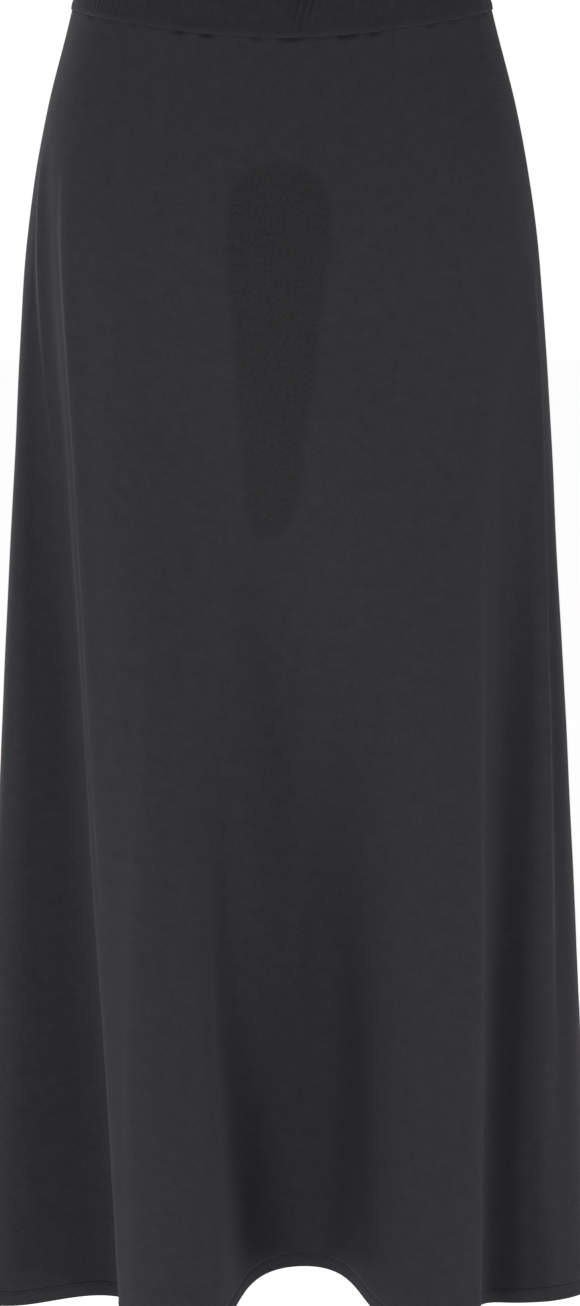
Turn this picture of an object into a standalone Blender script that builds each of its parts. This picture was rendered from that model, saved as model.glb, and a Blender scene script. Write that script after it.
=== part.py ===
"""A knit midi skirt as it is worn, standing open with no wearer.

The skirt is a flared tube round the Z axis, with its front towards -Y and the viewer's
right towards +X. The origin is the middle of the waistband, where the wearer holds it up.

Every piece is a wall cut from one surface. The surface starts as plain rings, which a table
of sections gives from the waist to the hem. Below the hip each ring is drawn out into
folds: a table of fold lines says where each crest, valley and edge ends at the hem and how
it grows on the way down. A ring is a closed chain of cubic curves, one from each fold line
to the next.
"""

import math
from collections import namedtuple

import bmesh
import bpy
from mathutils import Vector

# Driving dimensions, in metres.
WAISTBAND_HEIGHT = 0.040
SEAM_TO_HEM = 0.815
HEM_BAND_HEIGHT = 0.010
PANEL_WALL = 0.0015
WAISTBAND_WALL = 0.0028
HEM_BAND_WALL = 0.0024
WAISTBAND_PROUD = 0.0007
HEM_BAND_PROUD = 0.0003
SEAM_GAP = 0.0003
# How much lower the waist seam runs at the front centre than at the side seams.
FRONT_DIP = 0.010
WAIST_SEAM_Z = -WAISTBAND_HEIGHT / 2

# How finely the walls are faceted.
COLUMN_PITCH = 0.0155
FEWEST_COLUMNS = 3
PANEL_ROWS = 20
WAISTBAND_ROWS = 2

# The plain rings: distance below the waist seam, half of the width, and how far the
# front and the back stand from the axis.
Section = namedtuple("Section", "drop half_width front back")
SECTIONS = (
    Section(-0.040, 0.1225, 0.0880, 0.0860),
    Section(0.000, 0.1308, 0.0955, 0.0930),
    Section(0.060, 0.1465, 0.1050, 0.1080),
    Section(0.120, 0.1575, 0.1110, 0.1230),
    Section(0.180, 0.1640, 0.1125, 0.1300),
    Section(0.280, 0.1702, 0.1150, 0.1340),
    Section(0.430, 0.1790, 0.1180, 0.1370),
    Section(0.580, 0.1870, 0.1200, 0.1400),
    Section(0.815, 0.1960, 0.1220, 0.1430),
)

# The fold lines, once round from the left side seam through the front to the right side
# seam and back behind. bearing is the line's angle at the hip, in degrees from the front
# centre towards +X. x and y are its place in the hem, drop is how far below the seam the
# hem hangs there, and heading is the hem's own direction there, in degrees from +X.
# before and after say how roundly the hem reaches the line and leaves it, as shares of the
# distance to its neighbours. start is how far below the seam the line begins to leave the
# plain rings, and power is below 1 where it does so early and above 1 where it is late.
FoldLine = namedtuple("FoldLine", "name bearing x y drop heading before after start power")
FOLD_LINES = (
    FoldLine("left_side", -90, -0.190, -0.004, 0.826, -100, 1.0, 1.0, 0.10, 1.00),
    FoldLine("left_lobe", -82, -0.185, -0.054, 0.831, -15, 1.2, 1.0, 0.09, 0.85),
    FoldLine("left_pocket", -73, -0.112, -0.044, 0.828, -15, 1.0, 1.3, 0.07, 0.82),
    FoldLine("left_edge", -66.5, -0.1038, -0.088, 0.824, -90, 1.2, 1.0, 0.075, 0.79),
    FoldLine("left_crest", -24, -0.057, -0.134, 0.822, 0, 1.1, 0.95, 0.12, 1.10),
    FoldLine("centre_valley", 3, 0.014, -0.038, 0.810, 0, 1.26, 1.14, 0.22, 1.20),
    FoldLine("right_crest", 33, 0.090, -0.130, 0.822, 0, 1.1, 1.0, 0.20, 1.10),
    FoldLine("right_edge", 49.5, 0.1258, -0.100, 0.824, 85, 1.0, 1.0, 0.23, 0.50),
    FoldLine("right_pocket", 60, 0.1415, -0.052, 0.829, 5, 1.15, 1.2, 0.20, 0.75),
    FoldLine("right_lobe", 74, 0.179, -0.066, 0.823, 25, 1.0, 1.2, 0.14, 0.90),
    FoldLine("right_side", 90, 0.200, -0.006, 0.827, 95, 1.0, 1.0, 0.10, 1.00),
    FoldLine("back_right_valley", 112, 0.158, 0.046, 0.824, 115, 1.0, 1.0, 0.20, 1.15),
    FoldLine("back_right_crest", 134, 0.126, 0.124, 0.820, 165, 1.1, 1.1, 0.18, 1.10),
    FoldLine("back_mid_right_valley", 158, 0.066, 0.076, 0.814, 182, 1.1, 1.1, 0.30, 1.25),
    FoldLine("back_centre_crest", 184, 0.006, 0.149, 0.818, 180, 1.1, 1.1, 0.22, 1.10),
    FoldLine("back_mid_left_valley", 207, -0.056, 0.092, 0.814, 176, 1.1, 1.1, 0.34, 1.25),
    FoldLine("back_left_crest", 229, -0.118, 0.132, 0.820, 195, 1.1, 1.1, 0.18, 1.10),
    FoldLine("back_left_valley", 250, -0.158, 0.044, 0.825, 245, 1.0, 1.0, 0.18, 1.05),
)
LEFT_SEAM = 0
RIGHT_SEAM = next(k for k, line in enumerate(FOLD_LINES) if line.name == "right_side")
# The share of its way down over which a fold line sets off gently.
GENTLE_START = 0.08
# The short steps that a direction on the surface is measured over: along a span from 0 to 1,
# and down the surface in metres.
SPAN_STEP = 0.002
DROP_STEP = 0.002


def hermite(a, b, leave, arrive, s):
    """The point at s, from 0 to 1, on the cubic from a to b with these end directions."""
    s2, s3 = s * s, s * s * s
    return (
        a * (2 * s3 - 3 * s2 + 1)
        + leave * (s3 - 2 * s2 + s)
        + b * (3 * s2 - 2 * s3)
        + arrive * (s3 - s2)
    )


def section_at(drop):
    """The plain ring's sizes at a distance below the seam, on a smooth curve through SECTIONS."""
    last = len(SECTIONS) - 1
    i = next((k for k in range(last) if drop <= SECTIONS[k + 1].drop), last - 1)
    low, high = SECTIONS[i], SECTIONS[i + 1]
    before = SECTIONS[max(i - 1, 0)]
    beyond = SECTIONS[min(i + 2, last)]
    span = high.drop - low.drop
    sizes = []
    for column in ("half_width", "front", "back"):
        a, b = getattr(low, column), getattr(high, column)
        slope_a = (b - getattr(before, column)) / (high.drop - before.drop)
        slope_b = (getattr(beyond, column) - a) / (beyond.drop - low.drop)
        sizes.append(hermite(a, b, slope_a * span, slope_b * span, (drop - low.drop) / span))
    return sizes


def plain_point(bearing, drop):
    """Where the plain ring is in plan at a bearing in degrees, and its direction per radian."""
    half_width, front, back = section_at(drop)
    angle = math.radians(bearing)
    depth = front if math.cos(angle) > 0 else back
    place = Vector((half_width * math.sin(angle), -depth * math.cos(angle)))
    onward = Vector((half_width * math.cos(angle), depth * math.sin(angle)))
    return place, onward


def growth(line, drop):
    """How far a fold line has left the plain rings: 0 down to its start, 1 at the hem."""
    share = max((drop - line.start) / (SEAM_TO_HEM - line.start), 0.0)
    gentle = share * share / (share + GENTLE_START) * (1 + GENTLE_START)
    return gentle ** line.power


def neighbours(index):
    """The fold lines on each side of one, and their bearings, in order round the ring."""
    count = len(FOLD_LINES)
    before = FOLD_LINES[index - 1]
    after = FOLD_LINES[(index + 1) % count]
    bearing_before = before.bearing - (360 if index == 0 else 0)
    bearing_after = after.bearing + (360 if index == count - 1 else 0)
    return before, after, bearing_before, bearing_after


def fold_station(index, drop):
    """A fold line's place at one level, the curve's direction there, and its reach each way."""
    line = FOLD_LINES[index]
    line_before, line_after, bearing_before, bearing_after = neighbours(index)
    place, onward = plain_point(line.bearing, drop)
    hem_place = Vector((line.x, line.y))
    grown = growth(line, drop)
    place = place + (hem_place - plain_point(line.bearing, SEAM_TO_HEM)[0]) * grown
    heading = math.radians(line.heading)
    hem_direction = Vector((math.cos(heading), math.sin(heading)))
    direction = onward.normalized().lerp(hem_direction, grown).normalized()
    plain_before = onward.length * math.radians(line.bearing - bearing_before)
    plain_after = onward.length * math.radians(bearing_after - line.bearing)
    hem_before = line.before * (hem_place - Vector((line_before.x, line_before.y))).length
    hem_after = line.after * (Vector((line_after.x, line_after.y)) - hem_place).length
    reach_before = plain_before + (hem_before - plain_before) * grown
    reach_after = plain_after + (hem_after - plain_after) * grown
    return place, direction, reach_before, reach_after


def dip_at(bearing):
    """How far the waist seam lies below the side seams' level at a bearing."""
    return FRONT_DIP * max(math.cos(math.radians(bearing)), 0.0) ** 3


def surface_point(station, s, drop):
    """The cloth's outer surface between one fold line and the next.

    station is the index of the fold line, s runs from 0 there to 1 at the next line, and
    drop is the distance below the waist seam, negative in the waistband.
    """
    following = (station + 1) % len(FOLD_LINES)
    here, leaving, _, reach_after = fold_station(station, drop)
    there, arriving, reach_before, _ = fold_station(following, drop)
    plan = hermite(here, there, leaving * reach_after, arriving * reach_before, s)
    line = FOLD_LINES[station]
    _, line_after, _, bearing_after = neighbours(station)
    bearing = line.bearing + (bearing_after - line.bearing) * s
    top = WAIST_SEAM_Z - dip_at(bearing)
    if drop <= 0:
        return Vector((plan.x, plan.y, top - drop))
    ease = s * s * (3 - 2 * s)
    hem = WAIST_SEAM_Z - line.drop - (line_after.drop - line.drop) * ease
    return Vector((plan.x, plan.y, top + (hem - top) * drop / SEAM_TO_HEM))


def surface_normal(station, s, drop):
    """The outward direction of the surface, from a short step along it each way."""
    behind = surface_point(station, s - SPAN_STEP, drop)
    ahead = surface_point(station, s + SPAN_STEP, drop)
    above = surface_point(station, s, drop - DROP_STEP)
    below = surface_point(station, s, drop + DROP_STEP)
    return (below - above).cross(ahead - behind).normalized()


def columns(first, last):
    """The (station, s) pairs from one seam's fold line to another's, evenly spread at the hem."""
    spots = []
    for station in range(first, last):
        line = FOLD_LINES[station]
        line_after = neighbours(station)[1]
        length = math.hypot(line_after.x - line.x, line_after.y - line.y)
        steps = max(round(length / COLUMN_PITCH), FEWEST_COLUMNS)
        spots += [(station, k / steps) for k in range(steps)]
    spots.append((last - 1, 1.0))
    return spots


def trimmed(station, s, drop, at_start, at_end):
    """Moves a column at a side seam half a seam gap into its own panel."""
    if not (at_start or at_end):
        return s
    step = SPAN_STEP if at_start else -SPAN_STEP
    run = (surface_point(station, s + step, drop) - surface_point(station, s, drop)).length
    return s + step * (SEAM_GAP / 2) / run


def skin(mesh, rows):
    """Quads between rows of vertices, facing out where rows run down and each row runs onward."""
    for upper, lower in zip(rows, rows[1:]):
        for k in range(len(upper) - 1):
            mesh.faces.new((upper[k], lower[k], lower[k + 1], upper[k + 1]))


def wall(name, first, last, drops, proud, thickness, material):
    """One piece of cloth: a wall on the surface from one side seam to the other.

    drops are the levels of its rows, proud is how far its outside stands off the surface,
    and thickness goes inwards from there.
    """
    spots = columns(first, last)
    mesh = bmesh.new()
    outside, inside = [], []
    for drop in drops:
        outer_row, inner_row = [], []
        for k, (station, s) in enumerate(spots):
            s = trimmed(station, s, drop, k == 0, k == len(spots) - 1)
            point = surface_point(station, s, drop)
            normal = surface_normal(station, s, drop)
            outer_row.append(mesh.verts.new(point + normal * proud))
            inner_row.append(mesh.verts.new(point + normal * (proud - thickness)))
        outside.append(outer_row)
        inside.append(inner_row)
    skin(mesh, outside)
    skin(mesh, [row[::-1] for row in inside])
    skin(mesh, [outside[0][::-1], inside[0][::-1]])
    skin(mesh, [outside[-1], inside[-1]])
    skin(mesh, [[row[0] for row in outside], [row[0] for row in inside]])
    skin(mesh, [[row[-1] for row in inside], [row[-1] for row in outside]])
    data = bpy.data.meshes.new(name)
    mesh.to_mesh(data)
    mesh.free()
    data.shade_smooth()
    data.materials.append(material)
    piece = bpy.data.objects.new(name, data)
    bpy.context.scene.collection.objects.link(piece)
    return piece


def knit(name, colour, roughness):
    """A plain matt knit finish."""
    material = bpy.data.materials.new(name)
    material.use_nodes = True
    shader = material.node_tree.nodes["Principled BSDF"]
    shader.inputs["Base Color"].default_value = (*colour, 1.0)
    shader.inputs["Roughness"].default_value = roughness
    shader.inputs["Metallic"].default_value = 0.0
    return material


def levels(top, bottom, rows):
    """Evenly spaced distances below the seam, both ends included."""
    return [top + (bottom - top) * k / rows for k in range(rows + 1)]


def build():
    """Clears the scene and makes the skirt's pieces."""
    for leftover in list(bpy.data.objects):
        bpy.data.objects.remove(leftover)
    jersey = knit("charcoal_jersey", (0.032, 0.032, 0.034), 0.85)
    rib = knit("charcoal_rib", (0.029, 0.029, 0.031), 0.88)
    half_gap = SEAM_GAP / 2
    hem_top = SEAM_TO_HEM - HEM_BAND_HEIGHT
    band_drops = levels(-WAISTBAND_HEIGHT, -half_gap, WAISTBAND_ROWS)
    panel_drops = levels(half_gap, hem_top - half_gap, PANEL_ROWS)
    hem_drops = levels(hem_top + half_gap, SEAM_TO_HEM, 1)
    sides = (("front", LEFT_SEAM, RIGHT_SEAM), ("back", RIGHT_SEAM, len(FOLD_LINES)))
    for side, first, last in sides:
        wall(f"waistband_{side}", first, last, band_drops, WAISTBAND_PROUD, WAISTBAND_WALL, rib)
        wall(f"{side}_panel", first, last, panel_drops, 0.0, PANEL_WALL, jersey)
        wall(f"hem_{side}", first, last, hem_drops, HEM_BAND_PROUD, HEM_BAND_WALL, jersey)


build()
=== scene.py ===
"""The looks of a knit midi skirt, worn with no wearer: cloth, seams, hem, studio and camera.

The cloth is one flared surface, the same one that the frame's solids are cut from. Plain
rings run from the waist to the hem, and fold lines draw them out into the folds of the
drape. Creases, puckers and the cloth's own unevenness are then raised on that surface, and
each sewn piece is a thin shell of it. All lengths are in metres, with +Z up, the front
towards -Y and the viewer's right towards +X.
"""

import logging
import math
from dataclasses import dataclass
from enum import Enum
from typing import NamedTuple

import bmesh
import bpy
import numpy as np
from mathutils import Matrix, Vector, noise


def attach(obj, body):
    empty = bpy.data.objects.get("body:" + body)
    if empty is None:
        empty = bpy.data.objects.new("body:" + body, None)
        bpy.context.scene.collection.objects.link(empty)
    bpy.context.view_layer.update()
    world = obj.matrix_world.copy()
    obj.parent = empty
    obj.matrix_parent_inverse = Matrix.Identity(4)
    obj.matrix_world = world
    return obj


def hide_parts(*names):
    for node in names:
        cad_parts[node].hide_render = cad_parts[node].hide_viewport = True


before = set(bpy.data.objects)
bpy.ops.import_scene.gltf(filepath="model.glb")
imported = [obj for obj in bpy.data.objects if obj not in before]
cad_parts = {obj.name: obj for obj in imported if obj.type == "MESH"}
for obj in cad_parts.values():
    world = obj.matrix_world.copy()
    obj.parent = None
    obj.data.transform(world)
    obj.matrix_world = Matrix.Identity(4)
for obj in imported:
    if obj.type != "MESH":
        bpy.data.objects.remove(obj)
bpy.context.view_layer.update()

log = logging.getLogger("skirt")

# The garment's own sizes. SEAM_TO_HEM is nominal: each fold line has its own drop to the hem.
WAISTBAND_HEIGHT = 0.040
SEAM_TO_HEM = 0.815
HEM_DEPTH = 0.010
WAIST_SEAM_Z = -WAISTBAND_HEIGHT / 2
# How far the waist seam dips at the front's middle.
FRONT_DIP = 0.010
# The share of its length over which a fold line only begins to leave the plain rings.
GENTLE_START = 0.08
# The waist and hem seams are drawn this close, so that they show as fine lines.
SHOWN_GAP = 0.0001


class Half(Enum):
    """The front or the back half of the skirt, and the fold lines that it runs between."""

    FRONT = (0, 10)
    BACK = (10, 18)

    @property
    def side(self) -> str:
        """The half's name, as the pieces' names have it."""
        return self.name.lower()


class Section(NamedTuple):
    """A plain ring of the skirt, before it is folded.

    drop is its distance below the waist seam, half_width its reach each way along X, and
    front and back its reach from the axis.
    """

    drop: float
    half_width: float
    front: float
    back: float


class FoldLine(NamedTuple):
    """A line down the skirt that a fold's crest, valley or edge follows.

    bearing is its angle at the hip, in degrees from the front centre towards +X. x and y
    are its place in the hem, drop is how far below the waist seam the hem hangs there, and
    heading is the hem's direction there, in degrees from +X. before and after say how
    roundly the hem reaches the line and leaves it, as shares of the distance to its
    neighbours. start is how far below the seam it leaves the plain rings, and power is
    below 1 where it does so early and above 1 where it is late.
    """

    name: str
    bearing: float
    x: float
    y: float
    drop: float
    heading: float
    before: float
    after: float
    start: float
    power: float


class Crease(NamedTuple):
    """A soft ridge or trough that runs down the cloth.

    at_top and at_bottom are its places round the skirt at its two ends, as a fold line's
    number plus the share of the way to the next one. top and bottom are those ends'
    distances below the waist seam. width is half of its breadth, and height is above 0 for
    a ridge and below 0 for a trough. A ridge that leans to +1 falls off steeply towards the
    next line, and one that leans to -1 towards the last. sway is how far it wanders, and
    onset is above 1 where it begins and ends softly.
    """

    at_top: float
    at_bottom: float
    top: float
    bottom: float
    width: float
    height: float
    lean: float = 0.0
    sway: float = 0.0
    onset: float = 0.8


class SeamShadow(NamedTuple):
    """A stretch of the waist seam where the cloth is drawn in, at x along the seam."""

    x: float
    half_length: float
    depth: float


class MarkRow(NamedTuple):
    """The darker tongue's middle and half width at one distance below the waist seam."""

    drop: float
    x: float
    half_width: float


SECTIONS = (
    Section(-0.040, 0.1225, 0.0880, 0.0860),
    Section(0.000, 0.1308, 0.0955, 0.0930),
    Section(0.060, 0.1465, 0.1050, 0.1080),
    Section(0.120, 0.1575, 0.1110, 0.1230),
    Section(0.180, 0.1640, 0.1125, 0.1300),
    Section(0.280, 0.1702, 0.1150, 0.1340),
    Section(0.430, 0.1790, 0.1180, 0.1370),
    Section(0.580, 0.1870, 0.1200, 0.1400),
    Section(0.815, 0.1960, 0.1220, 0.1430),
)
FOLD_LINES = (
    FoldLine("left_side", -90, -0.190, -0.004, 0.826, -100, 1.0, 1.0, 0.10, 1.00),
    FoldLine("left_lobe", -82, -0.185, -0.054, 0.831, -15, 1.2, 1.0, 0.09, 0.85),
    FoldLine("left_pocket", -73, -0.112, -0.044, 0.828, -15, 1.0, 1.3, 0.07, 0.82),
    FoldLine("left_edge", -66.5, -0.1038, -0.088, 0.824, -90, 1.2, 1.0, 0.075, 0.79),
    FoldLine("left_crest", -24, -0.057, -0.134, 0.822, 0, 1.1, 0.95, 0.12, 1.10),
    FoldLine("centre_valley", 3, 0.014, -0.038, 0.810, 0, 1.26, 1.14, 0.22, 1.20),
    FoldLine("right_crest", 33, 0.090, -0.130, 0.822, 0, 1.1, 1.0, 0.20, 1.10),
    FoldLine("right_edge", 49.5, 0.1258, -0.100, 0.824, 85, 1.0, 1.0, 0.23, 0.50),
    FoldLine("right_pocket", 60, 0.1415, -0.052, 0.829, 5, 1.15, 1.2, 0.20, 0.75),
    FoldLine("right_lobe", 74, 0.179, -0.066, 0.823, 25, 1.0, 1.2, 0.14, 0.90),
    FoldLine("right_side", 90, 0.200, -0.006, 0.827, 95, 1.0, 1.0, 0.10, 1.00),
    FoldLine("back_right_valley", 112, 0.158, 0.046, 0.824, 115, 1.0, 1.0, 0.20, 1.15),
    FoldLine("back_right_crest", 134, 0.126, 0.124, 0.820, 165, 1.1, 1.1, 0.18, 1.10),
    FoldLine("back_mid_right_valley", 158, 0.066, 0.076, 0.814, 182, 1.1, 1.1, 0.30, 1.25),
    FoldLine("back_centre_crest", 184, 0.006, 0.149, 0.818, 180, 1.1, 1.1, 0.22, 1.10),
    FoldLine("back_mid_left_valley", 207, -0.056, 0.092, 0.814, 176, 1.1, 1.1, 0.34, 1.25),
    FoldLine("back_left_crest", 229, -0.118, 0.132, 0.820, 195, 1.1, 1.1, 0.18, 1.10),
    FoldLine("back_left_valley", 250, -0.158, 0.044, 0.825, 245, 1.0, 1.0, 0.18, 1.05),
)
# Their order matters, because each one's number sets how it sways.
CREASES = (
    # The edge of the left main fold, the small fold at the hip behind it, and its gutter.
    Crease(3.09, 3.25, 0.090, 0.560, 0.0080, 0.0042, -0.50),
    Crease(1.48, 1.98, 0.085, 0.305, 0.0080, 0.0042, -0.50),
    Crease(1.20, 1.50, 0.100, 0.420, 0.0110, -0.0036),
    # The edge of the right lobe, the gutter beyond it, and the bottom of the right pocket.
    Crease(9.00, 8.68, 0.150, 0.780, 0.0100, 0.0056, 0.50),
    Crease(9.20, 9.00, 0.260, 0.820, 0.0090, -0.0028, 0.00),
    Crease(8.06, 8.03, 0.200, 0.720, 0.0130, -0.0045, 0.00, 0.001),
    # The rolled edges of the two main folds.
    Crease(3.92, 3.46, 0.320, 0.850, 0.0150, 0.0044, -0.30, 0.001),
    Crease(6.80, 6.82, 0.240, 0.900, 0.0140, 0.0042, 0.20, 0.001),
    # The middle valley: its left shoulder, its bottom, its low ridge and its right side.
    Crease(4.02, 3.95, 0.240, 0.880, 0.0350, 0.0048, 0.10, 0.002),
    Crease(4.42, 4.64, 0.190, 0.840, 0.0330, -0.0190, 0.15, 0.001, 1.3),
    Crease(5.00, 5.00, 0.380, 0.840, 0.0200, 0.0085, 0.00, 0.001, 1.4),
    Crease(5.12, 5.04, 0.340, 0.860, 0.0230, -0.0032, -0.15, 0.001, 1.2),
    # Faint rises and hollows over the thighs.
    Crease(3.62, 3.70, 0.120, 0.520, 0.0200, 0.0009, 0.00, 0.003),
    Crease(3.24, 3.30, 0.140, 0.420, 0.0180, -0.0008, 0.00, 0.003),
    Crease(5.70, 5.66, 0.180, 0.640, 0.0230, 0.0010, 0.00, 0.003),
    Crease(6.32, 6.36, 0.160, 0.700, 0.0180, -0.0009, 0.00, 0.002),
    # The rise inside the right pocket.
    Crease(8.27, 8.27, 0.400, 0.900, 0.0170, 0.0065, 0.00, 0.001),
    # The back, between its three folds.
    Crease(10.45, 10.55, 0.140, 0.560, 0.0120, 0.0036, 0.40, 0.002),
    Crease(11.40, 11.30, 0.240, 0.900, 0.0140, -0.0026, -0.20, 0.002),
    Crease(12.50, 12.42, 0.300, 0.780, 0.0150, 0.0024, 0.20, 0.002),
    Crease(13.10, 13.00, 0.420, 0.900, 0.0110, 0.0026, 0.00, 0.001),
    Crease(13.62, 13.70, 0.160, 0.600, 0.0200, -0.0012, 0.00, 0.003),
    Crease(14.40, 14.46, 0.260, 0.880, 0.0130, 0.0018, 0.30, 0.001),
    Crease(15.06, 15.00, 0.480, 0.900, 0.0120, 0.0024, 0.00, 0.002),
    Crease(15.55, 15.62, 0.200, 0.700, 0.0170, -0.0020, -0.20, 0.003),
    Crease(16.60, 16.70, 0.260, 0.900, 0.0110, -0.0024, 0.30, 0.001),
    Crease(17.45, 17.36, 0.130, 0.500, 0.0120, 0.0034, -0.40, 0.002),
)
SEAM_SHADOWS = (
    SeamShadow(-0.1165, 0.0025, 0.55),
    SeamShadow(-0.1070, 0.0035, 0.25),
    SeamShadow(-0.0910, 0.0025, 0.25),
    SeamShadow(-0.0780, 0.0020, 0.45),
    SeamShadow(-0.0620, 0.0040, 0.95),
    SeamShadow(-0.0445, 0.0045, 1.00),
    SeamShadow(-0.0150, 0.0035, 0.60),
    SeamShadow(0.0060, 0.0090, 0.85),
    SeamShadow(0.0230, 0.0045, 0.35),
    SeamShadow(0.0400, 0.0070, 1.00),
    SeamShadow(0.0560, 0.0045, 0.85),
    SeamShadow(0.0910, 0.0030, 0.60),
    SeamShadow(0.1060, 0.0055, 0.40),
    SeamShadow(0.1230, 0.0040, 0.45),
)
MARK_ROWS = (
    MarkRow(0.0750, -0.002, 0.000),
    MarkRow(0.0765, -0.002, 0.010),
    MarkRow(0.0800, -0.002, 0.018),
    MarkRow(0.0870, -0.002, 0.026),
    MarkRow(0.1000, -0.002, 0.031),
    MarkRow(0.1250, -0.002, 0.032),
    MarkRow(0.2000, -0.004, 0.025),
    MarkRow(0.2700, -0.006, 0.018),
    MarkRow(0.2950, -0.007, 0.015),
    MarkRow(0.3080, -0.008, 0.009),
    MarkRow(0.3150, -0.009, 0.000),
)


def hermite(
    start: np.ndarray, end: np.ndarray, leave: np.ndarray, arrive: np.ndarray, s: np.ndarray
) -> np.ndarray:
    """A point of the cubic curve between two points.

    Args:
        start: The first point.
        end: The last point.
        leave: The curve's direction at the first point.
        arrive: The curve's direction at the last point.
        s: How far along it the point is, from 0 to 1.

    Returns:
        The point.
    """
    rise = s * s * (3 - 2 * s)
    early = s * (1 - s) ** 2
    late = s * s * (1 - s)
    return start * (1 - rise) + end * rise + leave * early - arrive * late


def unit(rows: np.ndarray) -> np.ndarray:
    """The directions of vectors, at length 1."""
    return rows / np.linalg.norm(rows, axis=-1, keepdims=True)


def run_along(points: np.ndarray) -> np.ndarray:
    """The distance along each row of a grid of points, from its first column."""
    steps = np.linalg.norm(np.diff(points, axis=1), axis=2)
    return np.concatenate((np.zeros((len(points), 1)), np.cumsum(steps, axis=1)), axis=1)


def bell(offset: np.ndarray, power: float = 2.0) -> np.ndarray:
    """1 at no offset, and soon 0 past an offset of 1."""
    return np.exp(-(np.abs(offset) ** power))


def cloudy(points: np.ndarray, across: float, down: float, seed: float) -> np.ndarray:
    """Smooth unevenness of about -1 to 1.

    Args:
        points: A grid of points.
        across: The size of its patches, level.
        down: Their size, up and down.
        seed: A number for another pattern.

    Returns:
        A value for each point.
    """
    scaled = points / np.array((across, across, down)) + seed
    return np.array([[noise.noise(place) for place in row] for row in scaled.tolist()])


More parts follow.
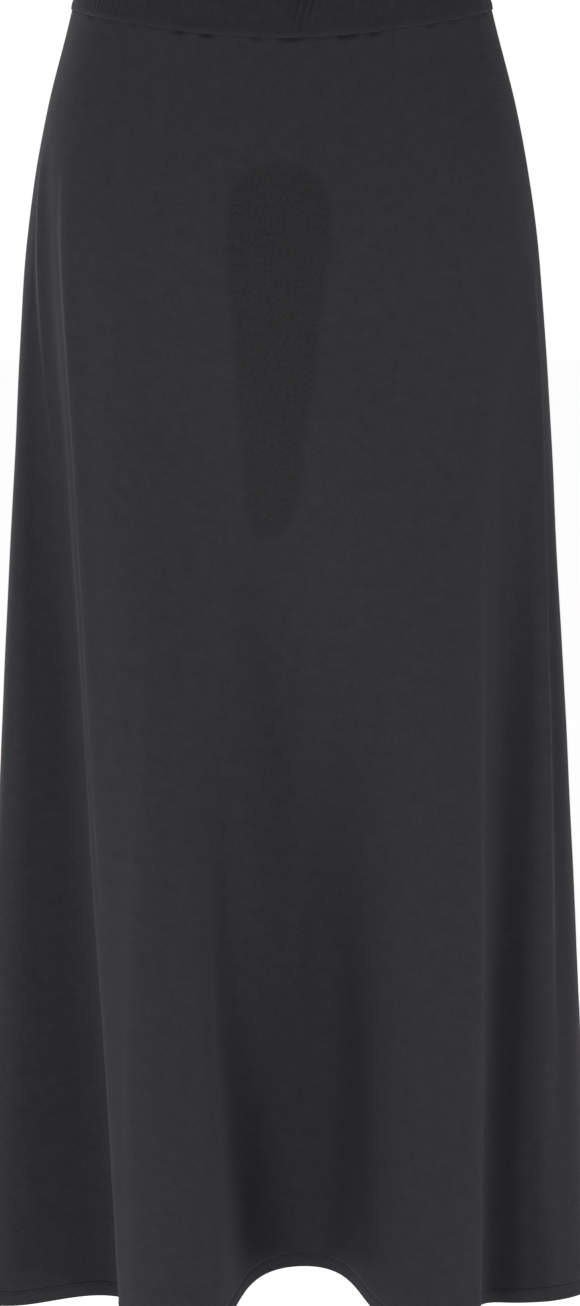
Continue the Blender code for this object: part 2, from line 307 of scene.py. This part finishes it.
@dataclass(frozen=True)
class SkirtForm:
    """The cloth's outer surface as it hangs on nobody.

    The tucks are how far the waist seam draws the cloth in, least where it lies smooth and
    most at a full shadow. The edges at the side seams roll inwards. A patch is the size of
    one swell of the cloth's unevenness, level and up and down, and there is none of it in
    the first stretch below the waist seam, smooth_top long. crease_fullness below 1 makes a
    crease highest above its middle.
    """

    sections: tuple[Section, ...] = SECTIONS
    lines: tuple[FoldLine, ...] = FOLD_LINES
    creases: tuple[Crease, ...] = CREASES
    shadows: tuple[SeamShadow, ...] = SEAM_SHADOWS
    pucker_length: float = 0.011
    pucker_height: float = 0.00045
    pucker_reach: float = 0.014
    least_tuck: float = 0.0001
    most_tuck: float = 0.0017
    tuck_reach: float = 0.0017
    pucker_seed: float = 3.0
    shadow_sharpness: float = 4.0
    edge_roll: float = 0.0008
    edge_reach: float = 0.0022
    unevenness: float = 0.0007
    broad_patch: tuple[float, float] = (0.06, 0.16)
    small_patch: tuple[float, float] = (0.02, 0.05)
    small_share: float = 0.3
    small_seed: float = 7.0
    smooth_top: float = 0.05
    crease_fullness: float = 0.85
    sway_length: float = 7.0
    sway_shift: float = 2.0
    normal_step: float = 0.001
    measured_places: int = 1200

    def ring(self, drop: float) -> np.ndarray:
        """The plain ring's half width, front and back at one level.

        Args:
            drop: Distance below the waist seam.

        Returns:
            The three lengths, on a smooth curve through the sections.
        """
        table = np.array(self.sections)
        last = len(table) - 2
        i = int(np.clip(np.searchsorted(table[:, 0], drop) - 1, 0, last))
        low, high = table[i], table[i + 1]
        before, beyond = table[max(i - 1, 0)], table[min(i + 2, last + 1)]
        span = high[0] - low[0]
        leave = (high - before)[1:] / (high - before)[0] * span
        arrive = (beyond - low)[1:] / (beyond - low)[0] * span
        return hermite(low[1:], high[1:], leave, arrive, (drop - low[0]) / span)

    def plain(self, bearing: float, drop: float) -> tuple[np.ndarray, np.ndarray]:
        """A point of the plain ring in plan.

        Args:
            bearing: Its angle from the front centre, in degrees.
            drop: Distance below the waist seam.

        Returns:
            Its place, and the ring's direction there for each radian.
        """
        half_width, front, back = self.ring(drop)
        c, s = math.cos(math.radians(bearing)), math.sin(math.radians(bearing))
        depth = front if c > 0 else back
        return np.array((half_width * s, -depth * c)), np.array((half_width * c, depth * s))

    def stations(self, drop: float) -> tuple[np.ndarray, np.ndarray, np.ndarray, np.ndarray]:
        """Where every fold line is at one level.

        Args:
            drop: Distance below the waist seam.

        Returns:
            Places, directions, and how far the curve reaches before and after each line.
        """
        rows = []
        for k, line in enumerate(self.lines):
            previous, following = self.lines[k - 1], self.lines[(k + 1) % len(self.lines)]
            share = max((drop - line.start) / (SEAM_TO_HEM - line.start), 0.0)
            grown = (share**2 / (share + GENTLE_START) * (1 + GENTLE_START)) ** line.power
            hem = np.array((line.x, line.y))
            place, onward = self.plain(line.bearing, drop)
            place = place + (hem - self.plain(line.bearing, SEAM_TO_HEM)[0]) * grown
            heading = math.radians(line.heading)
            hem_onward = np.array((math.cos(heading), math.sin(heading)))
            direction = unit(unit(onward) * (1 - grown) + hem_onward * grown)
            speed = np.linalg.norm(onward)
            before = speed * math.radians((line.bearing - previous.bearing) % 360)
            after = speed * math.radians((following.bearing - line.bearing) % 360)
            before += (line.before * math.dist(hem, (previous.x, previous.y)) - before) * grown
            after += (line.after * math.dist(hem, (following.x, following.y)) - after) * grown
            rows.append((*place, *direction, before, after))
        table = np.array(rows)
        return table[:, 0:2], table[:, 2:4], table[:, 4:5], table[:, 5:6]

    def row(self, around: np.ndarray, drop: float) -> np.ndarray:
        """One level of the smooth surface.

        Args:
            around: Places round it, as a fold line's number plus the share to the next.
            drop: Distance below the waist seam, below 0 in the waistband.

        Returns:
            A point for each place.
        """
        places, directions, befores, afters = self.stations(drop)
        station = np.floor(around).astype(int)
        s = around - station
        here, there = station % len(self.lines), (station + 1) % len(self.lines)
        leave, arrive = directions[here] * afters[here], directions[there] * befores[there]
        plan = hermite(places[here], places[there], leave, arrive, s[:, None])
        bearings = np.array([line.bearing for line in self.lines])
        bearing = bearings[here] + (bearings[there] - bearings[here]) % 360 * s
        top = WAIST_SEAM_Z - FRONT_DIP * np.maximum(np.cos(np.radians(bearing)), 0.0) ** 3
        if drop <= 0:
            return np.column_stack((plan, top - drop))
        drops = np.array([line.drop for line in self.lines])
        hem = WAIST_SEAM_Z - drops[here] - (drops[there] - drops[here]) * s * s * (3 - 2 * s)
        return np.column_stack((plan, top + (hem - top) * drop / SEAM_TO_HEM))

    def smooth(self, around: np.ndarray, drops: np.ndarray) -> tuple[np.ndarray, np.ndarray]:
        """The smooth surface on a grid of levels and places.

        Args:
            around: The columns' places round the skirt.
            drops: The rows' levels.

        Returns:
            Its points and its outward directions, as [row, column, xyz].
        """
        points = np.array([self.row(around, drop) for drop in drops])
        below = np.array([self.row(around, drop + self.normal_step) for drop in drops])
        return points, unit(np.cross(below - points, np.gradient(points, axis=1)))

    def creased(self, around: np.ndarray, drops: np.ndarray, run: np.ndarray) -> np.ndarray:
        """How far the creases stand off the smooth surface.

        Args:
            around: The columns' places round the skirt.
            drops: The rows' levels.
            run: Each grid point's distance along its row.

        Returns:
            A height for each grid point.
        """
        height = np.zeros(run.shape)
        for number, crease in enumerate(self.creases):
            if not around[0] < crease.at_top < around[-1]:
                continue
            for r, drop in enumerate(drops):
                share = (drop - crease.top) / (crease.bottom - crease.top)
                if not 0 < share < 1:
                    continue
                place = crease.at_top + (crease.at_bottom - crease.at_top) * share
                middle = np.interp(place, around, run[r])
                wander = self.sway_length * share + self.sway_shift * number
                middle += crease.sway * math.sin(wander)
                offset = (run[r] - middle) / crease.width
                offset /= np.where(offset > 0, 1 - crease.lean, 1 + crease.lean)
                swell = math.sin(math.pi * share**self.crease_fullness) ** crease.onset
                height[r] += crease.height * swell * bell(offset)
        return height

    def drawn_in(self, points: np.ndarray, below: np.ndarray) -> np.ndarray:
        """How the waist seam's stitching draws in the cloth below it.

        Args:
            points: A grid of points.
            below: Each row's distance below the waist seam.

        Returns:
            A height for each point, of puckers and of the tuck under the band.
        """
        pucker = cloudy(points[:1], self.pucker_length, 1.0, self.pucker_seed)
        height = self.pucker_height * pucker * np.exp(-below / self.pucker_reach)
        depth = np.full(points.shape[:2], self.least_tuck)
        for shadow in self.shadows:
            offset = (points[:, :, 0] - shadow.x) / shadow.half_length
            near = bell(offset, self.shadow_sharpness)
            depth += (self.most_tuck - self.least_tuck) * shadow.depth * near
        return height - depth * bell(below / self.tuck_reach)

    def surface(self, around: np.ndarray, drops: np.ndarray) -> tuple[np.ndarray, np.ndarray]:
        """The cloth's outer surface, with its creases, puckers and unevenness.

        Args:
            around: The columns' places round the skirt.
            drops: The rows' levels.

        Returns:
            Its points and its outward directions, as [row, column, xyz].
        """
        points, outward = self.smooth(around, drops)
        run = run_along(points)
        level = np.asarray(drops)[:, None]
        small = cloudy(points, *self.small_patch, self.small_seed)
        uneven = cloudy(points, *self.broad_patch, 0.0) + self.small_share * small
        height = self.creased(around, drops, run)
        height += self.unevenness * uneven * np.clip(level / self.smooth_top, 0, 1)
        height += self.drawn_in(points, np.maximum(level, 0)) * (level > 0)
        edge = np.minimum(run, run[:, -1:] - run)
        height -= self.edge_roll * bell(edge / self.edge_reach)
        return points + outward * height[:, :, None], outward

    def columns(self, half: Half, drop: float, count: int, evenness: float) -> np.ndarray:
        """Places round half of the skirt, spread by distance as well as by fold line.

        Args:
            half: Which half.
            drop: The level where the distance is measured.
            count: How many places.
            evenness: From 0, spread by fold line, to 1, spread by distance.

        Returns:
            The places, from side seam to side seam.
        """
        first, last = half.value
        fine = np.linspace(first, last, self.measured_places)
        run = run_along(self.row(fine, drop)[None])[0]
        measure = evenness * run / run[-1] + (1 - evenness) * (fine - first) / (last - first)
        return np.interp(np.linspace(0, 1, count), measure, fine)


def hex_colour(text: str) -> tuple[float, float, float, float]:
    """The linear colour of an sRGB hex value such as "#323234"."""
    parts = [int(text[i : i + 2], 16) / 255 for i in (1, 3, 5)]
    linear = [p / 12.92 if p <= 0.04045 else ((p + 0.055) / 1.055) ** 2.4 for p in parts]
    return (*linear, 1.0)


def add_node(
    tree: bpy.types.NodeTree,
    kind: str,
    values: dict | None = None,
    links: dict | None = None,
    **settings,
) -> bpy.types.Node:
    """Adds a node.

    Args:
        tree: The node tree.
        kind: The node's type name.
        values: What its input sockets hold, by name or number.
        links: The sockets that its inputs are linked from, by name or number.
        **settings: The node's own settings.

    Returns:
        The node.
    """
    node = tree.nodes.new(kind)
    for name, value in settings.items():
        setattr(node, name, value)
    for name, value in (values or {}).items():
        node.inputs[name].default_value = value
    for name, source in (links or {}).items():
        tree.links.new(source, node.inputs[name])
    return node


@dataclass(frozen=True)
class KnitFinish:
    """Dyed cotton and elastane yarn, weft-knitted: a matt dark face with a little fibre bloom.

    wale and course are the width of a column of loops and the height of a row. Real ones
    are about 0.8 mm, and are drawn at twice that so that they show. Slubs are the yarn's
    thicker, paler stretches and clouds are uneven dye. Each contrast is the stretch of the
    noise that goes from one colour to the other, and the mark is mottled between mark_least
    and 1 of its strength. Loops stand up to a quarter of bump_height.
    """

    name: str
    colour: str = "#2f2f32"
    fleck: str = "#353538"
    marked: str = "#29292b"
    wale: float = 0.0016
    course: float = 0.0013
    bump_height: float = 0.00048
    slub_size: float = 0.0024
    cloud_size: float = 0.009
    noise_detail: float = 3.0
    noise_roughness: float = 0.6
    dye_contrast: tuple[float, float] = (0.75, 1.25)
    mark_contrast: tuple[float, float] = (0.42, 0.60)
    mark_least: float = 0.35
    roughness: float = 0.92
    sheen: float = 0.18
    sheen_roughness: float = 0.35
    sheen_tint: str = "#c9c9d4"
    specular: float = 0.2

    def loops(
        self, tree: bpy.types.NodeTree, knit: bpy.types.NodeSocket
    ) -> bpy.types.NodeSocket:
        """Draws the columns of V-shaped loops.

        Args:
            tree: The material's node tree.
            knit: The place in the knit.

        Returns:
            The loops' height, from 0 to 0.25.
        """
        axes = add_node(tree, "ShaderNodeSeparateXYZ", links={0: knit}).outputs
        wales = add_node(
            tree, "ShaderNodeMath", {1: 1 / self.wale}, {0: axes["X"]}, operation="MULTIPLY"
        )
        # The leg is 0 between two columns of loops and 0.5 along a column's middle.
        leg = add_node(
            tree, "ShaderNodeMath", {1: 0.5}, {0: wales.outputs[0]}, operation="PINGPONG"
        )
        courses = add_node(
            tree,
            "ShaderNodeMath",
            {1: 1 / self.course},
            {0: axes["Y"], 2: leg.outputs[0]},
            operation="MULTIPLY_ADD",
        )
        yarn = add_node(
            tree, "ShaderNodeMath", {1: 0.5}, {0: courses.outputs[0]}, operation="PINGPONG"
        )
        height = add_node(
            tree,
            "ShaderNodeMath",
            links={0: leg.outputs[0], 1: yarn.outputs[0]},
            operation="MULTIPLY",
        )
        return height.outputs[0]

    def dye(self, tree: bpy.types.NodeTree, knit: bpy.types.NodeSocket) -> bpy.types.NodeSocket:
        """Draws the dye's flecks and clouds, and the mark.

        Args:
            tree: The material's node tree.
            knit: The place in the knit.

        Returns:
            The colour.
        """
        slub, cloud = (
            add_node(
                tree,
                "ShaderNodeTexNoise",
                {
                    "Scale": 1 / size,
                    "Detail": self.noise_detail,
                    "Roughness": self.noise_roughness,
                },
                {"Vector": knit},
            )
            for size in (self.slub_size, self.cloud_size)
        )
        both = add_node(
            tree,
            "ShaderNodeMath",
            links={0: slub.outputs[0], 1: cloud.outputs[0]},
            operation="ADD",
        )
        spread = add_node(
            tree,
            "ShaderNodeMapRange",
            {"From Min": self.dye_contrast[0], "From Max": self.dye_contrast[1]},
            {"Value": both.outputs[0]},
        )
        dyed = add_node(
            tree,
            "ShaderNodeMix",
            {6: hex_colour(self.colour), 7: hex_colour(self.fleck)},
            {0: spread.outputs[0]},
            data_type="RGBA",
        )
        mark = add_node(tree, "ShaderNodeAttribute", attribute_name="mark")
        speckled = add_node(
            tree,
            "ShaderNodeMapRange",
            {
                "From Min": self.mark_contrast[0],
                "From Max": self.mark_contrast[1],
                "To Min": self.mark_least,
                "To Max": 1.0,
            },
            {"Value": slub.outputs[0]},
        )
        mottled = add_node(
            tree,
            "ShaderNodeMath",
            links={0: mark.outputs["Fac"], 1: speckled.outputs[0]},
            operation="MULTIPLY",
        )
        shown = add_node(
            tree,
            "ShaderNodeMix",
            {7: hex_colour(self.marked)},
            {0: mottled.outputs[0], 6: dyed.outputs[2]},
            data_type="RGBA",
        )
        return shown.outputs[2]

    def material(self) -> bpy.types.Material:
        """Makes the material.

        Returns:
            A material that reads the cloth's own "knit" map and its "mark" attribute.
        """
        made = bpy.data.materials.new(self.name)
        made.use_nodes = True
        tree = made.node_tree
        tree.nodes.clear()
        knit = add_node(tree, "ShaderNodeUVMap", uv_map="knit").outputs["UV"]
        bump = add_node(
            tree,
            "ShaderNodeBump",
            {"Strength": 1.0, "Distance": self.bump_height},
            {"Height": self.loops(tree, knit)},
        )
        shader = add_node(
            tree,
            "ShaderNodeBsdfPrincipled",
            {
                "Roughness": self.roughness,
                "Specular IOR Level": self.specular,
                "Sheen Weight": self.sheen,
                "Sheen Roughness": self.sheen_roughness,
                "Sheen Tint": hex_colour(self.sheen_tint),
            },
            {"Base Color": self.dye(tree, knit), "Normal": bump.outputs["Normal"]},
        )
        add_node(tree, "ShaderNodeOutputMaterial", links={"Surface": shader.outputs["BSDF"]})
        return made


def finished(mesh: bmesh.types.BMesh, name: str) -> bpy.types.Object:
    """Turns a bmesh into a shown object at the origin.

    Args:
        mesh: The mesh, which is freed.
        name: The object's name.

    Returns:
        The object.
    """
    data = bpy.data.meshes.new(name)
    mesh.to_mesh(data)
    mesh.free()
    made = bpy.data.objects.new(name, data)
    bpy.context.scene.collection.objects.link(made)
    return made


@dataclass
class ClothShell:
    """Cloth made from a grid of points on its outer face, as [row, column, xyz].

    weave is each point's place in the knit. A looped shell's last row is its first, and one
    that isn't gets its wall behind its points.
    """

    name: str
    points: np.ndarray
    weave: np.ndarray
    wall: float = 0.0
    mark: np.ndarray | None = None
    looped: bool = False
    same_point: float = 1e-6

    def grid(self) -> bmesh.types.BMesh:
        """The grid, with its place in the knit and its mark kept on each vertex."""
        rows, columns = self.points.shape[:2]
        mesh = bmesh.new()
        bmesh.ops.create_grid(mesh, x_segments=columns - 1, y_segments=rows - 1, size=1.0)
        across, along, mark = (
            mesh.verts.layers.float.new(name) for name in ("across", "along", "mark")
        )
        for vert in mesh.verts:
            column = round((vert.co.x + 1) / 2 * (columns - 1))
            row = round((1 - vert.co.y) / 2 * (rows - 1))
            vert.co = self.points[row, column]
            vert[across], vert[along] = self.weave[row, column]
            if self.mark is not None:
                vert[mark] = self.mark[row, column]
        return mesh

    def build(self) -> bpy.types.Object:
        """Makes the cloth.

        Returns:
            The object: a closed wall, smooth, with a map along the knit in metres.
        """
        mesh = self.grid()
        for face in mesh.faces:
            face.smooth = True
        if self.looped:
            bmesh.ops.remove_doubles(mesh, verts=mesh.verts[:], dist=self.same_point)
            ends = [edge for edge in mesh.edges if edge.is_boundary]
            bmesh.ops.holes_fill(mesh, edges=ends, sides=0)
        else:
            mesh.normal_update()
            bmesh.ops.solidify(mesh, geom=mesh.faces[:], thickness=self.wall)
        across, along = (mesh.verts.layers.float[name] for name in ("across", "along"))
        knit = mesh.loops.layers.uv.new("knit")
        for face in mesh.faces:
            for loop in face.loops:
                loop[knit].uv = (loop.vert[across], loop.vert[along])
        return finished(mesh, self.name)


@dataclass
class Panel:
    """A flared panel of single jersey, from the waist seam to the hem turning.

    Its columns are spread by their distance at the level measured_at. Its rows start
    first_step apart under the waist seam and widen down to fine_depth, and hem_rows of them
    fill the last hem_depth. mark_edge is the breadth of the mark's soft outline.
    """

    half: Half
    form: SkirtForm
    wall: float = 0.0015
    columns: int = 350
    measured_at: float = 0.8 * SEAM_TO_HEM
    evenness: float = 0.85
    fine_rows: int = 20
    first_step: float = 0.0006
    fine_depth: float = 0.030
    plain_rows: int = 106
    hem_rows: int = 5
    hem_depth: float = 0.006
    mark_edge: float = 0.006
    flat_width: float = 0.72
    flat_length: float = 0.84
    flat_area: float = 0.41

    @property
    def node(self) -> str:
        """The node that the panel stands for."""
        return f"{self.half.side}_panel"

    def levels(self) -> np.ndarray:
        """The rows' levels: close together under the waist seam and above the hem."""
        hem_top = SEAM_TO_HEM - HEM_DEPTH
        top = np.geomspace(self.first_step, self.fine_depth, self.fine_rows)
        top = top - self.first_step + SHOWN_GAP
        bottom = np.linspace(hem_top - self.hem_depth, hem_top, self.hem_rows)
        middle = np.linspace(top[-1], bottom[0], self.plain_rows)
        return np.concatenate((top, middle[1:-1], bottom))

    def marks(self, points: np.ndarray, drops: np.ndarray) -> np.ndarray:
        """The faintly darker tongue down the front's middle.

        Args:
            points: The panel's grid of points.
            drops: The rows' levels.

        Returns:
            1 inside it and 0 outside, for each point.
        """
        if self.half is Half.BACK:
            return np.zeros(points.shape[:2])
        table = np.array(MARK_ROWS)
        middle, reach = (np.interp(drops, table[:, 0], table[:, k])[:, None] for k in (1, 2))
        inside = (reach - np.abs(points[:, :, 0] - middle)) / self.mark_edge
        return np.where(reach > 0, np.clip(inside + 0.5, 0, 1), 0)

    def build(self, material: bpy.types.Material) -> bpy.types.Object:
        """Makes the panel and dresses it.

        Args:
            material: The jersey.

        Returns:
            The panel.
        """
        drops = self.levels()
        around = self.form.columns(self.half, self.measured_at, self.columns, self.evenness)
        points, _ = self.form.surface(around, drops)
        run = run_along(points)
        along = np.broadcast_to(drops[:, None], run.shape)
        weave = np.stack((run - run[:, -1:] / 2, along), axis=-1)
        mark = self.marks(points, drops)
        piece = ClothShell(f"{self.node}_jersey", points, weave, self.wall, mark).build()
        piece.data.materials.append(material)
        return piece


@dataclass
class Band:
    """A doubled band of cloth whose section is a flat loop with round ends.

    The rows go down its outer face, round its lower end, up its inner face and round its
    upper end, and first_row is the one that the grid starts and ends at. end_depth is how
    far the round ends reach up or down from the flat faces.
    """

    half: Half
    form: SkirtForm
    name: str
    top: float
    bottom: float
    thickness: float
    proud: float
    columns: int
    face_rows: int
    end_rows: int = 5
    first_row: int = 0
    end_depth: float = 0.0006

    def section(self) -> tuple[np.ndarray, np.ndarray]:
        """The loop's levels, and its distances out from the cloth's outer surface."""
        radius = self.thickness / 2
        reach = self.end_depth
        down = np.linspace(self.top + reach, self.bottom - reach, self.face_rows)
        turn = np.linspace(0, math.pi, self.end_rows + 2)[1:-1]
        low = self.bottom - reach + reach * np.sin(turn)
        high = self.top + reach - reach * np.sin(turn)
        face = np.ones(self.face_rows)
        drops = np.concatenate((down, low, down[::-1], high))
        sides = np.concatenate((face, np.cos(turn), -face, -np.cos(turn)))
        drops, sides = (np.roll(row, -self.first_row) for row in (drops, sides))
        offsets = self.proud - radius + radius * sides
        return np.append(drops, drops[0]), np.append(offsets, offsets[0])

    def texture(self, run: np.ndarray, drops: np.ndarray) -> np.ndarray:
        """How far the knit stands out of the band, for each point."""
        return np.zeros(run.shape)

    def build(self, material: bpy.types.Material) -> bpy.types.Object:
        """Makes the band and dresses it.

        Args:
            material: The knit.

        Returns:
            The band.
        """
        drops, offsets = self.section()
        around = self.form.columns(self.half, self.bottom, self.columns, 1.0)
        points, outward = self.form.surface(around, drops)
        run = run_along(points)
        side = np.where(offsets > self.proud - self.thickness / 2, 1, -1)[:, None]
        height = offsets[:, None] + side * self.texture(run, drops[:, None])
        points = points + outward * height[:, :, None]
        points[-1] = points[0]
        steps = (np.diff(row, prepend=row[0]) for row in (drops, offsets))
        length = np.cumsum(np.hypot(*steps))
        weave = np.stack((run, np.broadcast_to(length[:, None], run.shape)), axis=-1)
        piece = ClothShell(self.name, points, weave, looped=True).build()
        piece.data.materials.append(material)
        return piece


@dataclass
class Waistband(Band):
    """The rib band at the waist, doubled over its folded top edge.

    Its ribs come out in patches rib_patch wide, and fade out in the last rib_fade above the
    seam, where the band's lower edge is rolled into a lip.
    """

    rib: float = 0.0042
    rib_height: float = 0.00160
    rib_fade: float = 0.020
    rib_patch: float = 0.022
    patch_middle: float = 0.30
    patch_contrast: float = 1.6
    patch_seed: float = 5.0
    least_rib: float = 0.1
    lip_height: float = 0.0004
    lip_level: float = -0.0028
    lip_reach: float = 0.0020

    def texture(self, run: np.ndarray, drops: np.ndarray) -> np.ndarray:
        """The ribs, which flatten out towards the seam, and the band's rolled lower lip."""
        ribs = 0.5 + 0.5 * np.cos(2 * math.pi * run / self.rib)
        places = np.stack((run, np.zeros(run.shape), drops + np.zeros(run.shape)), axis=-1)
        cloud = cloudy(places, self.rib_patch, 1.0, self.patch_seed)
        patches = np.clip(self.patch_middle + self.patch_contrast * cloud, 0.0, 1.0)
        strength = patches * np.clip(-drops / self.rib_fade, self.least_rib, 1.0)
        lip = self.lip_height * bell((drops - self.lip_level) / self.lip_reach)
        return self.rib_height * strength * ribs + lip


@dataclass(frozen=True)
class StitchRow:
    """The row of thread that holds the hem up, seen on its outer face.

    proud is how far the thread's middle stands off the cloth, and radius is half of its
    thickness. The pitch is from one stitch to the next.
    """

    half: Half
    form: SkirtForm
    proud: float = 0.0003
    level: float = SEAM_TO_HEM - HEM_DEPTH + 0.0026
    pitch: float = 0.0032
    length: float = 0.0021
    radius: float = 0.00022
    measured_places: int = 1500

    def build(self, material: bpy.types.Material) -> bpy.types.Object:
        """Makes the row.

        Args:
            material: The thread.

        Returns:
            All the half's stitches, as one object.
        """
        around = self.form.columns(self.half, self.level, self.measured_places, 1.0)
        points, outward = self.form.surface(around, np.array([self.level]))
        run = run_along(points)[0]
        shape = Matrix.Diagonal((self.length / 2, self.radius, self.radius, 1.0))
        mesh = bmesh.new()
        for at in np.arange(self.pitch, run[-1] - self.pitch, self.pitch):
            here, ahead, out = (
                Vector([np.interp(place, run, grid[0, :, axis]) for axis in range(3)])
                for place, grid in ((at, points), (at + self.length, points), (at, outward))
            )
            onward = (ahead - here).normalized()
            across = out.cross(onward).normalized()
            turn = Matrix((onward, across, onward.cross(across))).transposed().to_4x4()
            place = Matrix.Translation(here + out * self.proud)
            bmesh.ops.create_icosphere(
                mesh, subdivisions=1, radius=1.0, matrix=place @ turn @ shape
            )
        for face in mesh.faces:
            face.smooth = True
        piece = finished(mesh, f"hem_stitches_{self.half.side}")
        piece.data.materials.append(material)
        return piece


@dataclass(frozen=True)
class Softbox:
    """A soft square light, with its place and its aim."""

    name: str
    place: tuple[float, float, float]
    watts: float
    aim: tuple[float, float, float] = (0.0, 0.0, -0.43)
    size: float = 1.3

    def build(self) -> None:
        """Makes the light."""
        lamp = bpy.data.lights.new(self.name, "AREA")
        lamp.shape = "SQUARE"
        lamp.size = self.size
        lamp.energy = self.watts
        made = bpy.data.objects.new(self.name, lamp)
        made.location = self.place
        away = Vector(self.aim) - Vector(self.place)
        made.rotation_euler = away.to_track_quat("-Z", "Y").to_euler()
        bpy.context.scene.collection.objects.link(made)


@dataclass(frozen=True)
class Studio:
    """A plain white floor and surround, soft lights, and the camera at the photo's angle.

    The softboxes stand about 3 m from the skirt's middle. Two light its front, one lights
    each side from a little below, and three behind it edge the folds and light its back.
    """

    softboxes: tuple[Softbox, ...] = (
        Softbox("front_left_softbox", (-1.03, -2.82, -0.43), 35.5),
        Softbox("front_right_softbox", (1.03, -2.82, -0.43), 18.5),
        Softbox("left_side_softbox", (-2.83, -0.6, -1.21), 37.0),
        Softbox("right_side_softbox", (2.72, -0.99, -1.21), 35.0),
        Softbox("left_rim_softbox", (-2.12, 2.12, -0.43), 28.0),
        Softbox("right_rim_softbox", (2.12, 2.12, -0.43), 9.0),
        Softbox("back_softbox", (0.0, 2.9, 0.35), 28.0),
    )
    surround: float = 0.04
    floor_level: float = -2.0
    floor_radius: float = 12.0
    floor_colour: str = "#fbfbfb"
    floor_glow: float = 0.97
    focal_length: float = 131.8
    eye: tuple[float, float, float] = (0.005, -3.0, 0.20)
    target: tuple[float, float, float] = (0.005, 0.0, -0.43)

    def floor(self) -> None:
        """Makes the floor, well below the hem."""
        mesh = bmesh.new()
        level = Matrix.Translation((0, 0, self.floor_level))
        bmesh.ops.create_circle(
            mesh, cap_ends=True, segments=96, radius=self.floor_radius, matrix=level
        )
        floor = finished(mesh, "floor")
        # Matt white paint: no gloss, so that nothing is mirrored under the skirt.
        paint = bpy.data.materials.new("floor_matt_paint")
        paint.use_nodes = True
        shader = paint.node_tree.nodes["Principled BSDF"]
        shader.inputs["Base Color"].default_value = hex_colour(self.floor_colour)
        shader.inputs["Roughness"].default_value = 0.9
        shader.inputs["Emission Color"].default_value = hex_colour(self.floor_colour)
        shader.inputs["Emission Strength"].default_value = self.floor_glow
        floor.data.materials.append(paint)
        floor.visible_diffuse = False

    def camera(self) -> None:
        """Makes the camera, a little above the waist and looking slightly down."""
        lens = bpy.data.cameras.new("camera")
        lens.lens = self.focal_length
        lens.sensor_width = 36.0
        lens.clip_end = 60.0
        made = bpy.data.objects.new("camera", lens)
        made.location = self.eye
        away = Vector(self.target) - Vector(self.eye)
        made.rotation_euler = away.to_track_quat("-Z", "Y").to_euler()
        bpy.context.scene.collection.objects.link(made)
        bpy.context.scene.camera = made

    def build(self) -> None:
        """Makes the studio."""
        bpy.context.scene.view_settings.view_transform = "Standard"
        world = bpy.data.worlds.new("white_surround")
        world.use_nodes = True
        # The backdrop shows as white, and lights the cloth more softly than it looks.
        rays = add_node(world.node_tree, "ShaderNodeLightPath")
        strength = add_node(
            world.node_tree,
            "ShaderNodeMapRange",
            {"To Min": self.surround, "To Max": 1.0},
            {"Value": rays.outputs["Is Camera Ray"]},
        )
        background = world.node_tree.nodes["Background"]
        background.inputs["Color"].default_value = (1.0, 1.0, 1.0, 1.0)
        world.node_tree.links.new(strength.outputs[0], background.inputs["Strength"])
        bpy.context.scene.world = world
        self.floor()
        for softbox in self.softboxes:
            softbox.build()
        self.camera()


def declare(piece: bpy.types.Object, slot: str, *nodes: str) -> None:
    """Hangs a piece from the root, hides the frame's nodes that it stands for, and logs its
    faces.

    Args:
        piece: The piece.
        slot: The record's material slot. It is not used.
        *nodes: The nodes.
    """
    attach(piece, "root")
    if nodes:
        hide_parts(*nodes)
    log.info("%s has %d faces", piece.name, len(piece.data.polygons))


def main() -> None:
    """Builds the skirt and its studio."""
    logging.basicConfig(level=logging.INFO, format="%(name)s: %(message)s")
    form = SkirtForm()
    # Matt dark cotton: the light falls off softly over a fold and only glows at its edge.
    jersey = KnitFinish("jersey_charcoal").material()
    rib = KnitFinish("rib_charcoal", colour="#29292c", fleck="#303033").material()
    thread = KnitFinish("thread_charcoal", colour="#343438", fleck="#3a3a3e").material()
    hem_top = SEAM_TO_HEM - HEM_DEPTH + SHOWN_GAP
    for half in Half:
        side = half.side
        panel = Panel(half, form)
        cloth = panel.build(jersey)
        declare(cloth, "jersey", panel.node)
        band = Waistband(
            half,
            form,
            f"waistband_{side}_rib",
            top=-WAISTBAND_HEIGHT,
            bottom=-SHOWN_GAP,
            thickness=0.0028,
            proud=0.0007,
            columns=620,
            face_rows=14,
            first_row=19,
        )
        waist = band.build(rib)
        declare(waist, "rib", f"waistband_{side}")
        turning = Band(
            half,
            form,
            f"hem_{side}_jersey",
            top=hem_top,
            bottom=SEAM_TO_HEM,
            thickness=0.0024,
            proud=0.0001,
            columns=350,
            face_rows=7,
        )
        hem = turning.build(jersey)
        declare(hem, "jersey", f"hem_{side}")
        stitches = StitchRow(half, form).build(thread)
        declare(stitches, "jersey")
    Studio().build()


if __name__ == "__main__":
    main()
